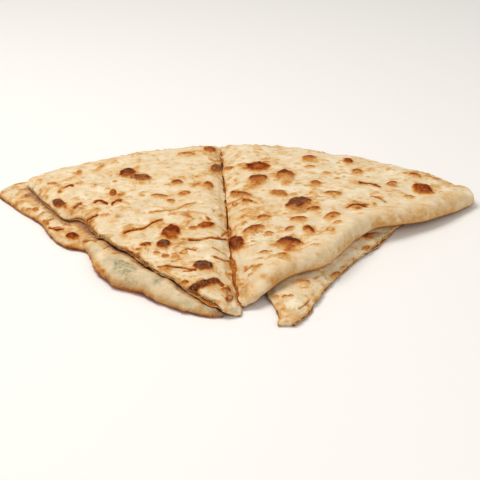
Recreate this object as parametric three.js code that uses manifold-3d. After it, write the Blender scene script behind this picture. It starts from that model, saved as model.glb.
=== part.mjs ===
// A cheese gozleme: one half-moon of thin filled flatbread, cut into four wedges that lie two on two.
// Millimetres, +Z up. The four tips point towards -Y, and the round, sealed rim is at the back, +Y.
// Two wedges come from the ends of the half-moon, so one of their sides is the fold of the dough.
// The other two come from its middle, with both sides cut. Each wedge is a pocket of dough that is
// open where the knife went, and a layer of cheese and herbs that runs through it.
import * as THREE from "three";
import { mergeVertices } from "three/addons/utils/BufferGeometryUtils.js";
import Module from "manifold-3d";

const wasm = await Module();
wasm.setup();

// ---- Driving dimensions -------------------------------------------------------------------------
const SHEET = 1.1; // one layer of rolled dough
const BODY = 7; // two layers and the filling
const CUT_EDGE = 4.2; // the same, pressed down by the knife
const RIM = 4.8; // the two layers sealed together along the arc
const TIP = 4.4; // thickness at the blunt tip
const GAP = 0.4; // clearance between dough and filling
const REST_GAP = 0.8; // clearance of an upper wedge over the lower ones

const CUT_BAND = 12; // how far in from a cut the knife has pressed
const RIM_BAND = 9; // width of the sealed rim
const RIM_RISE = 12; // from the rim up to full thickness
const ROLL_FLAT = 8; // the fold keeps its full height this far in
const ROLL_FADE = 24; // and has sunk to the body here
const CUT_ROUND = 0.5; // edge radii
const RIM_ROUND = 1.6;
const TIP_ROUND = 2.2;

const SAG = 0.004; // 1/mm: how much an unsupported stretch of a wedge bends down
const TIP_SOFT = 24; // length of the tip, which has a sag of its own
const WAVE = 0.45; // height of the dough's own ripples

const FILLING_INSET = 0.8; // the filling stays this far behind a cut
const FILLING_WOBBLE = 0.5; // and its edge is this uneven
const OPEN_PAST_CUT = 3; // the pocket runs this far past a cut, so that it opens there

// ---- How finely a wedge is divided --------------------------------------------------------------
const ROWS = 14; // along its length
const TIP_CROWD = 1.5; // rows lie closer together towards the tip
const MID_COLUMNS = 4; // across its middle
const FOLD_ARC = 3; // steps round the folded edge
const FOLD_STATIONS = [10, 17, ROLL_FADE]; // columns from the fold inwards
const CUT_STATIONS = [2, CUT_BAND]; // and from a cut

// ---- The four wedges ----------------------------------------------------------------------------
// Sides run from the tip to the rim, and rims from the left side to the right one, seen from the tip.
// roll gives the height of the folded side against the share of its length, and tipSag is the tip's
// own sag, in 1/mm.
const WEDGES = {
  lower_left: {
    left: [
      [-12, -124], [-27, -117.5], [-45, -103], [-52, -96], [-67, -87.5], [-76.5, -74], [-84, -52],
      [-90, -36], [-104, -29], [-115, -12], [-123, 7], [-140, 29.5], [-157, 54.5],
    ],
    right: [[-5, -123], [-9, -108], [-11, -60], [-11, 60], [-11, 120]],
    rear: [[-157, 54.5], [-151, 67], [-120, 87], [-83, 105], [-45, 117], [-11, 120]],
    fold: "left",
    roll: [[0, 5.5], [0.1, 8.5], [0.22, 10.5], [0.35, 11], [0.44, 9], [0.52, 6.4], [0.75, 5.4], [1, 4.6]],
  },
  lower_right: {
    left: [[24, -134.5], [24, -120], [18, -93], [9, -60], [2, -20], [-2, 30], [-4, 116]],
    right: [[33, -134], [40, -124], [46, -107], [55.5, -83], [70, -54.5], [81, -37.5], [99, -8], [118, 27], [132, 58]],
    rear: [[-4, 116], [35, 117], [75, 104], [108, 82], [132, 58]],
  },
  upper_left: {
    left: [
      [-5, -124], [-18.5, -114.5], [-29.5, -105], [-44, -86.5], [-60, -59.5], [-74, -45.5],
      [-82.5, -30], [-94, -6], [-107, 1], [-121, 25], [-138, 58],
    ],
    right: [[4, -122], [4.5, -112], [0, -95], [-2, -70], [-3.7, -33], [-5, 0], [-8.5, 75], [-10.5, 132]],
    rear: [[-138, 58], [-134, 67], [-106, 87], [-80, 103], [-53, 119], [-25, 129], [-10.5, 132]],
    tipSag: 0.07,
  },
  upper_right: {
    left: [[5, -114], [5, -104], [3.5, -92], [0.5, -72], [-1.7, -51], [-4, 0], [-7.5, 75], [-9.5, 136]],
    right: [
      [13, -109.5], [36, -88.5], [47, -80], [56, -71], [62, -60.5], [74, -36], [86.5, -20],
      [104.5, -9.5], [123.5, 3], [141.5, 20.5], [156, 38],
    ],
    rear: [
      [-9.5, 136], [10, 136], [41, 129], [62, 117], [90, 106], [109, 93], [122, 80], [140, 65.5],
      [154, 52], [156, 38],
    ],
    fold: "right",
    roll: [[0, 8], [0.1, 10.5], [0.2, 11.5], [0.36, 12], [0.46, 11], [0.53, 9], [0.62, 9.8], [0.8, 9.2], [1, 8]],
    tipSag: 0.012,
  },
};

// ---- Small helpers ------------------------------------------------------------------------------
const { clamp, lerp } = THREE.MathUtils;
const step = (low, high, x) => THREE.MathUtils.smoothstep(x, low, high);
const curveThrough = (points) => new THREE.SplineCurve(points.map(([x, y]) => new THREE.Vector2(x, y)));

// The value at t of a table of [t, value] pairs, smooth between them.
function along(table, t) {
  const i = clamp(table.findIndex(([at]) => at > t), 1, table.length - 1);
  const [[t0, a], [t1, b]] = [table[i - 1], table[i]];
  return lerp(a, b, step(t0, t1, clamp(t, t0, t1)));
}

// A round edge: 0 at the outline, 1 from the radius inwards.
const rounded = (distance, radius) => Math.sqrt(Math.max(0, 1 - (1 - clamp(distance / radius, 0, 1)) ** 2));

// The slow ripples of a rolled sheet that has been baked on a hot plate, from -1.6 to 1.6.
const ripple = (x, y) =>
  Math.sin(0.075 * x + 0.03 * y + 1.1) * Math.sin(0.11 * y - 0.025 * x) + 0.6 * Math.sin(0.05 * x - 0.16 * y + 0.4);

// ---- A wedge's outline and thickness ------------------------------------------------------------
class Wedge {
  constructor({ left, right, rear, fold, roll, tipSag = SAG }) {
    this.left = curveThrough(left);
    this.right = curveThrough(right);
    this.rear = curveThrough(rear);
    this.front = curveThrough([left[0], right[0]]);
    this.fold = fold;
    this.roll = roll;
    this.tipSag = tipSag;
    this.length = (this.left.getLength() + this.right.getLength()) / 2;
    const [first, last] = [2 * TIP_ROUND + 1, this.length - RIM_BAND - 2];
    this.rowStations = Array.from({ length: ROWS + 1 }, (_, i) => lerp(first, last, (i / ROWS) ** TIP_CROWD));
    this.rowStations.push(this.length - RIM_BAND / 2);
    this.baseHeight = () => 0;
  }

  // The plan position at share u from the left side to the right one, and share v from tip to rim.
  plan(u, v) {
    const [l, r] = [this.left.getPointAt(v), this.right.getPointAt(v)];
    const [f, b] = [this.front.getPointAt(u), this.rear.getPointAt(u)];
    const [frontLeft, frontRight] = [this.left.getPointAt(0), this.right.getPointAt(0)];
    const [rearLeft, rearRight] = [this.left.getPointAt(1), this.right.getPointAt(1)];
    const sides = l.lerp(r, u);
    const ends = f.lerp(b, v);
    const corners = frontLeft.lerp(frontRight, u).lerp(rearLeft.lerp(rearRight, u), v);
    return sides.add(ends).sub(corners);
  }

  width(v) {
    return this.left.getPointAt(v).distanceTo(this.right.getPointAt(v));
  }

  rollHeight(v) {
    return this.roll ? along(this.roll, v) : BODY;
  }

  // Thickness at distances d in from the left side, the right side, the tip and the rim.
  thickness(d, x, y) {
    const roll = this.rollHeight(d.front / this.length);
    const folded = this.fold ? 1 - step(ROLL_FLAT, ROLL_FADE, d[this.fold]) : 0;
    let h = lerp(BODY, roll, folded);
    h += WAVE * ripple(x, y) * step(0, RIM_RISE, Math.min(d.left, d.right, d.rear));
    for (const side of ["left", "right"])
      if (side !== this.fold) h = lerp(Math.min(h, CUT_EDGE), h, step(0, CUT_BAND, d[side]));
    const rim = lerp(RIM, Math.max(RIM, 0.85 * roll), folded);
    h = lerp(Math.min(h, rim), h, step(RIM_BAND - RIM_RISE / 2, RIM_BAND + RIM_RISE / 2, d.rear));
    return lerp(Math.min(h, TIP), h, step(0, TIP_SOFT, d.front));
  }
}

// ---- A wedge-shaped cushion, the one form behind the dough, its pocket and the filling ------------
// inset moves each side in, or out if negative, and wall thins it from above and below. The points
// lie on stations that don't depend on either, so that cushions nest without touching.
function cushion(wedge, { inset, wall, wobble = 0 }) {
  const foldRadius = (v) => wedge.rollHeight(v) / 2;
  const rearEdge = wedge.length - inset.rear;

  const rowsAt = [
    inset.front,
    inset.front + TIP_ROUND / 3,
    inset.front + TIP_ROUND,
    ...wedge.rowStations.filter((at) => at < rearEdge - RIM_ROUND),
    rearEdge - RIM_ROUND,
    rearEdge - RIM_ROUND / 4,
    rearEdge,
  ];

  // Distances in from one side: its round edge, then the band next to it, which is squeezed where
  // the wedge is narrow.
  const edgeSteps = (side, v) => {
    if (side !== wedge.fold) return [inset[side], inset[side] + CUT_ROUND];
    const radius = foldRadius(v) - inset[side];
    const angles = Array.from({ length: FOLD_ARC + 1 }, (_, i) => ((i / FOLD_ARC) * Math.PI) / 2);
    return angles.map((angle) => inset[side] + radius * (1 - Math.cos(angle)));
  };
  const bandStart = (side, v) => (side === wedge.fold ? foldRadius(v) : CUT_STATIONS[0]);
  const bandSteps = (side) => (side === wedge.fold ? FOLD_STATIONS : CUT_STATIONS);

  function stationsAcross(v, full) {
    const starts = { left: bandStart("left", v), right: bandStart("right", v) };
    const bands = { left: bandSteps("left"), right: bandSteps("right") };
    const wanted = bands.left.at(-1) - starts.left + bands.right.at(-1) - starts.right;
    const squeeze = Math.min(1, (0.9 * (full - starts.left - starts.right)) / wanted);
    const band = (side) => bands[side].map((s) => starts[side] + (s - starts[side]) * squeeze);
    const fromRight = (list) => list.map((s) => full - s).reverse();
    const [leftBand, rightBand] = [band("left"), fromRight(band("right"))];
    const middle = Array.from({ length: MID_COLUMNS }, (_, i) =>
      lerp(leftBand.at(-1), rightBand[0], (i + 1) / (MID_COLUMNS + 1)),
    );
    return [...edgeSteps("left", v), ...leftBand, ...middle, ...rightBand, ...fromRight(edgeSteps("right", v))];
  }

  const top = [];
  const bottom = [];
  rowsAt.forEach((front, row) => {
    const v = front / wedge.length;
    const full = wedge.width(v);
    const onward = wedge.right.getPointAt(v).sub(wedge.left.getPointAt(v)).normalize();
    const sideRadius = (side) => (side === wedge.fold ? foldRadius(v) - inset[side] : CUT_ROUND);
    const ends = rounded(front - inset.front, TIP_ROUND) * rounded(rearEdge - front, RIM_ROUND);
    const uneven = row > 2 && row < rowsAt.length - 3 ? wobble * Math.sin(2.4 * row) : 0;
    const across = stationsAcross(v, full);

    top.push([]);
    bottom.push([]);
    across.forEach((at, column) => {
      const nearLeft = column < 2 && wedge.fold !== "left";
      const nearRight = column > across.length - 3 && wedge.fold !== "right";
      const moved = at + (nearLeft ? uneven : 0) - (nearRight ? uneven : 0);
      const inside = clamp(moved, 0, full);
      const p = wedge.plan(inside / full, v).addScaledVector(onward, moved - inside);
      const d = { left: inside, right: full - inside, front, rear: wedge.length - front };
      const h = wedge.thickness(d, p.x, p.y) - 2 * wall;
      const sides =
        rounded(at - inset.left, sideRadius("left")) * rounded(full - inset.right - at, sideRadius("right"));
      const middle = wedge.baseHeight(p.x, p.y, front) + wall + h / 2;
      top.at(-1).push(new THREE.Vector3(p.x, p.y, middle + (h / 2) * sides * ends));
      bottom.at(-1).push(new THREE.Vector3(p.x, p.y, middle - (h / 2) * sides * ends));
    });
  });
  return closedGrid(top, bottom);
}

// One closed geometry from two grids of points that share their outline.
function closedGrid(top, bottom) {
  const [rows, columns] = [top.length, top[0].length];
  const positions = [];
  const face = (a, b, c) => [a, b, c].forEach((p) => positions.push(p.x, p.y, p.z));
  for (let j = 0; j + 1 < rows; j++)
    for (let i = 0; i + 1 < columns; i++) {
      const corners = (grid) => [grid[j][i], grid[j][i + 1], grid[j + 1][i + 1], grid[j + 1][i]];
      const [a, b, c, d] = corners(top);
      const [e, f, g, h] = corners(bottom);
      if ((i + j) % 2) {
        face(a, b, c);
        face(a, c, d);
        face(e, g, f);
        face(e, h, g);
      } else {
        face(a, b, d);
        face(b, c, d);
        face(e, h, f);
        face(f, h, g);
      }
    }
  const geometry = new THREE.BufferGeometry();
  geometry.setAttribute("position", new THREE.Float32BufferAttribute(positions, 3));
  return mergeVertices(geometry, 1e-3);
}

// ---- Dough and filling --------------------------------------------------------------------------
function solidOf(geometry) {
  const { attributes, index } = geometry;
  const triVerts = new Uint32Array(index.array);
  return new wasm.Manifold(new wasm.Mesh({ numProp: 3, vertProperties: attributes.position.array, triVerts }));
}

function geometryOf(solid) {
  const { vertProperties, triVerts } = solid.getMesh();
  const geometry = new THREE.BufferGeometry();
  geometry.setAttribute("position", new THREE.BufferAttribute(new Float32Array(vertProperties), 3));
  geometry.setIndex(new THREE.BufferAttribute(new Uint32Array(triVerts), 1));
  return geometry;
}

// How far each side is moved in: cuts by one amount, the fold and the tip by another, and the rim.
function insets(wedge, cut, closed, rear) {
  const side = (name) => (name === wedge.fold ? closed : cut);
  return { left: side("left"), right: side("right"), front: closed, rear };
}

function doughOf(wedge) {
  const outside = cushion(wedge, { inset: insets(wedge, 0, 0, 0), wall: 0 });
  const pocket = cushion(wedge, { inset: insets(wedge, -OPEN_PAST_CUT, SHEET, RIM_BAND), wall: SHEET });
  return geometryOf(solidOf(outside).subtract(solidOf(pocket)));
}

function fillingOf(wedge) {
  const inset = insets(wedge, FILLING_INSET, SHEET + GAP, RIM_BAND + GAP);
  return cushion(wedge, { inset, wall: SHEET + GAP, wobble: FILLING_WOBBLE });
}

// The height at which an upper wedge lies: it follows what is under it, and bends down past that no
// faster than its own stiffness lets it.
function restingOn(supports, wedge) {
  const points = supports.flatMap((geometry) => {
    const { position } = geometry.attributes;
    const corner = (i) => new THREE.Vector3().fromBufferAttribute(position, geometry.index.getX(i));
    const next = (i) => (i % 3 === 2 ? i - 2 : i + 1);
    const indices = Array.from({ length: geometry.index.count }, (_, i) => i);
    return indices.flatMap((i) => [corner(i), corner(i).lerp(corner(next(i)), 0.5)]);
  });
  const upper = points.filter((p) => p.z > SHEET);
  return (x, y, fromTip) => {
    const sag = lerp(wedge.tipSag, SAG, step(0, TIP_SOFT, fromTip));
    let z = 0;
    for (const p of upper) z = Math.max(z, p.z + REST_GAP - sag * ((x - p.x) ** 2 + (y - p.y) ** 2));
    return z;
  };
}

// ---- Materials ----------------------------------------------------------------------------------
const baked = new THREE.MeshStandardMaterial({ color: 0xecd9ae, roughness: 0.72, metalness: 0 });
const cheese = new THREE.MeshStandardMaterial({ color: 0xb9b084, roughness: 0.6, metalness: 0 });

// ---- The gozleme --------------------------------------------------------------------------------
const gozleme = new THREE.Group();
gozleme.name = "gozleme";

function addWedge(name, supports = []) {
  const wedge = new Wedge(WEDGES[name]);
  if (supports.length) wedge.baseHeight = restingOn(supports, wedge);
  const dough = new THREE.Mesh(doughOf(wedge), baked);
  dough.name = `slice_${name}_dough`;
  const filling = new THREE.Mesh(fillingOf(wedge), cheese);
  filling.name = `slice_${name}_filling`;
  gozleme.add(dough, filling);
  return dough.geometry;
}

const lowerDoughs = [addWedge("lower_left"), addWedge("lower_right")];
addWedge("upper_left", lowerDoughs);
addWedge("upper_right", lowerDoughs);

// The origin is under the middle of the whole, on the surface it lies on.
const extent = new THREE.Box3().setFromObject(gozleme);
const middle = extent.getCenter(new THREE.Vector3());
gozleme.position.set(-middle.x, -middle.y, -extent.min.z);

export default gozleme;
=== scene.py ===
"""A cheese gozleme: four wedges of thin filled flatbread, stacked two on two as a fan.

Each wedge is remodelled here at a fine scale over its plain solid: a pocket of dough with a fold, cut
edges and blisters, and a crumbly layer of cheese and herbs that shows where the knife went. Shapes are
worked out in millimetres in the layout's own axes, and moved to the frame, in metres, when a mesh is made.
"""
import math

import bpy
import numpy as np
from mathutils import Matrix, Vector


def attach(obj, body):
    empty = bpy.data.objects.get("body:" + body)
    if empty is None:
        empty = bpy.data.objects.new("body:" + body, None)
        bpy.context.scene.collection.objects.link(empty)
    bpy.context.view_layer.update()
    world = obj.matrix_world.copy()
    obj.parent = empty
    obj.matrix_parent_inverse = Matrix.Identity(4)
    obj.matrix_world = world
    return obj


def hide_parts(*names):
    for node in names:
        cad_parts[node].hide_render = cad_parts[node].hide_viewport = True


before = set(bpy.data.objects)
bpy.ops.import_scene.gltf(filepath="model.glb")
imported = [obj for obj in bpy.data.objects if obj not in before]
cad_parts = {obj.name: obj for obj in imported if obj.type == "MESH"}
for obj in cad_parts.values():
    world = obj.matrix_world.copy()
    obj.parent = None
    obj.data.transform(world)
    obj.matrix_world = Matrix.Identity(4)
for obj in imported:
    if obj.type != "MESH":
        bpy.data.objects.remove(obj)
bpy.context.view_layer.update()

MM = 0.001
INWARD = {"left": 1, "right": -1}  # the two sides of a wedge, and which way is in from them

# ---- Sizes, in millimetres
SHEET = 1.1  # one layer of rolled dough
BODY = 7.0  # two layers and the filling
CUT_EDGE = 4.2  # the same, pressed down by the knife
CUT_LIP = 2.5  # and right at the cut, where the sheets are drawn together
CLOSED_GAP = 0.14  # what is left between the sheets where they meet
RIM = 4.8  # the two layers sealed together along the arc
TIP = 4.4  # thickness at the blunt tip
FILLING_GAP = 0.15  # clearance between dough and filling
REST_GAP = 0.3  # clearance of an upper wedge over the lower ones

CUT_BAND = 12.0  # how far in from a cut the knife has pressed
LIP_BAND = 4.5  # and how far in the sheets are drawn together
RIM_BAND = 9.0  # width of the sealed rim
RIM_RISE = 12.0  # from the rim up to full thickness
ROLL_FLAT = 8.0  # the fold keeps its full height this far in
ROLL_FADE = 24.0  # and has sunk to the body here
FOLD_AT_RIM = 0.85  # its height there, as a share of its own
FOLD_OVER = 0.85  # how far in from its side a fold is rounded above, as a share of its height
FOLD_UNDER = 0.4  # and below
FOLD_LEVEL = 0.33  # how high up its side the two meet
RIM_ROUND = 1.6  # edge radii
TIP_ROUND = 2.2
LIP_ROUND = 0.45
LEAST_ROUND = 0.1
LIP_BULGE = 0.12  # how far the end of a cut sheet bulges
LIP_SINK = 0.7  # how far down the round edge of a cut sheet goes, as a share of its radius

SAG = 0.004  # 1/mm: how much an unsupported stretch of a wedge bends down
TIP_SOFT = 24.0  # length of the tip, which has a sag of its own
CUT_SOFT = 34.0  # and width of the left side, which may have one too
WAVE = 0.45  # height of the dough's own ripples
FILLING_INSET = 0.1  # the filling stays this far behind a cut
FILLING_ROUND = 0.3  # and is rounded there
FAR = 1e3  # farther than any two points are apart

# ---- The four wedges
# Sides run from the tip to the rim, and rear has the points between their ends, seen from the tip.
# roll gives the height of the folded side against the share of its length, lips how much more a cut is
# open against the distance from the tip, and top_lip and under_lip how far the upper and the lower
# sheet stick out of it.
WEDGES = {
    "lower_left": dict(
        left=[(-12, -124), (-27, -117.5), (-45, -103), (-52, -96), (-67, -87.5), (-76.5, -74), (-84, -52),
              (-90, -36), (-104, -29), (-115, -12), (-123, 7), (-140, 29.5), (-157, 54.5)],
        right=[(-5, -123), (-9, -108), (-11, -60), (-11, 60), (-11, 120)],
        rear=[(-151, 67), (-120, 87), (-83, 105), (-45, 117)],
        fold="left",
        roll=[(0, 5.5), (0.1, 8.5), (0.22, 10.5), (0.35, 11), (0.44, 9), (0.52, 6.4), (0.75, 5.4), (1, 4.6)],
    ),
    "lower_right": dict(
        left=[(24, -134.5), (24, -120), (18, -93), (9, -60), (2, -20), (-2, 30), (-4, 116)],
        right=[(33, -134), (40, -124), (46, -107), (55.5, -83), (70, -54.5), (81, -37.5), (99, -8),
               (118, 27), (132, 58)],
        rear=[(35, 117), (75, 104), (108, 82)],
        lips={"left": [(0, 0.6)], "right": [(0, 0.6), (100, 0.5), (112, 1.7), (150, 1.6), (165, 0.4)]},
    ),
    "upper_left": dict(
        left=[(-5, -124), (-18.5, -114.5), (-29.5, -105), (-44, -86.5), (-60, -59.5), (-74, -45.5),
              (-82.5, -30), (-94, -6), (-107, 1), (-121, 25), (-138, 58)],
        right=[(4, -122), (4.5, -112), (0, -95), (-2, -70), (-3.7, -33), (-5, 0), (-8.5, 75), (-10.5, 132)],
        rear=[(-134, 67), (-106, 87), (-80, 103), (-53, 119), (-25, 129)],
        tip_sag=0.07,
        left_sag=0.05,
        lips={"left": [(0, 0.9), (30, 0.9), (42, 0), (60, 0), (70, 1.1), (82, 0.9), (94, 0), (108, 0.4),
                       (150, 0.3), (165, -0.2), (174, -0.3)],
              "right": [(0, 0), (228, 0), (240, 1.5), (256, 2)]},
        top_lip={"left": [(0, 0), (5, 0), (9, -1.5), (16, -0.8), (21, -1.3), (27, 0)]},
        under_lip={"left": [(0, 0), (4, 0), (9, 1.3), (15, 0.6), (21, 1.1), (30, 0)]},
    ),
    "upper_right": dict(
        left=[(5, -114), (5, -104), (3.5, -92), (0.5, -72), (-1.7, -51), (-4, 0), (-7.5, 75), (-9.5, 136)],
        right=[(13, -109.5), (36, -88.5), (47, -80), (56, -71), (62, -60.5), (74, -36), (86.5, -20),
               (104.5, -9.5), (123.5, 3), (141.5, 20.5), (156, 38)],
        rear=[(10, 136), (41, 129), (62, 117), (90, 106), (109, 93), (122, 80), (140, 65.5), (154, 52)],
        fold="right",
        roll=[(0, 8), (0.1, 10.5), (0.2, 11.5), (0.36, 12), (0.46, 11), (0.53, 9), (0.62, 9.8), (0.8, 9.2),
              (1, 8)],
        tip_sag=0.012,
        lips={"left": [(0, 0), (222, 0), (235, 1.5), (250, 2)]},
        top_lip={"left": [(0, 2.6), (18, 2.6), (36, -0.9), (80, -0.9), (96, 0), (205, 0), (225, 0.7),
                          (250, 1.1)]},
        under_lip={"left": [(0, 4.0), (45, 4.0), (75, 3.1), (98, 0), (205, 0), (225, 1.0), (250, 1.4)]},
    ),
}

# The layout's place in the frame: the far left corner of the lower left wedge is in both.
CORNER = np.array(WEDGES["lower_left"]["left"][-1])
corner_vertex = min(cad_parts["slice_lower_left_dough"].data.vertices, key=lambda vertex: vertex.co.x)
LAYOUT_SHIFT = np.array([*(CORNER - np.array(corner_vertex.co[:2]) / MM), 0.0])

# ---- The camera that took the photograph, in the layout's axes
LENS = 105.0  # mm, on a 36 mm sensor
SENSOR = 36.0
PIXELS = 480  # the photograph's width and height
AIM = np.array([3.7, -15.5, 0.0])
DISTANCE = 869.0
ELEVATION = math.radians(23.45)
CAMERA_AT = AIM + DISTANCE * np.array([0.0, -math.cos(ELEVATION), math.sin(ELEVATION)])
FOCAL = LENS / SENSOR * PIXELS  # pixels
FORESHORTENED = 0.4  # height of a flat mark for its width, as the camera sees it
PIXEL = 0.65  # mm, at the bread


def in_photo(points):
    """Where points of the layout fall in the photograph, in pixels."""
    forward = (AIM - CAMERA_AT) / DISTANCE
    up = np.array([0.0, math.sin(ELEVATION), math.cos(ELEVATION)])
    away = points - CAMERA_AT
    depth = away @ forward
    x = PIXELS / 2 + FOCAL * away[..., 0] / depth
    y = PIXELS / 2 - FOCAL * (away @ up) / depth
    return x, y


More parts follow.
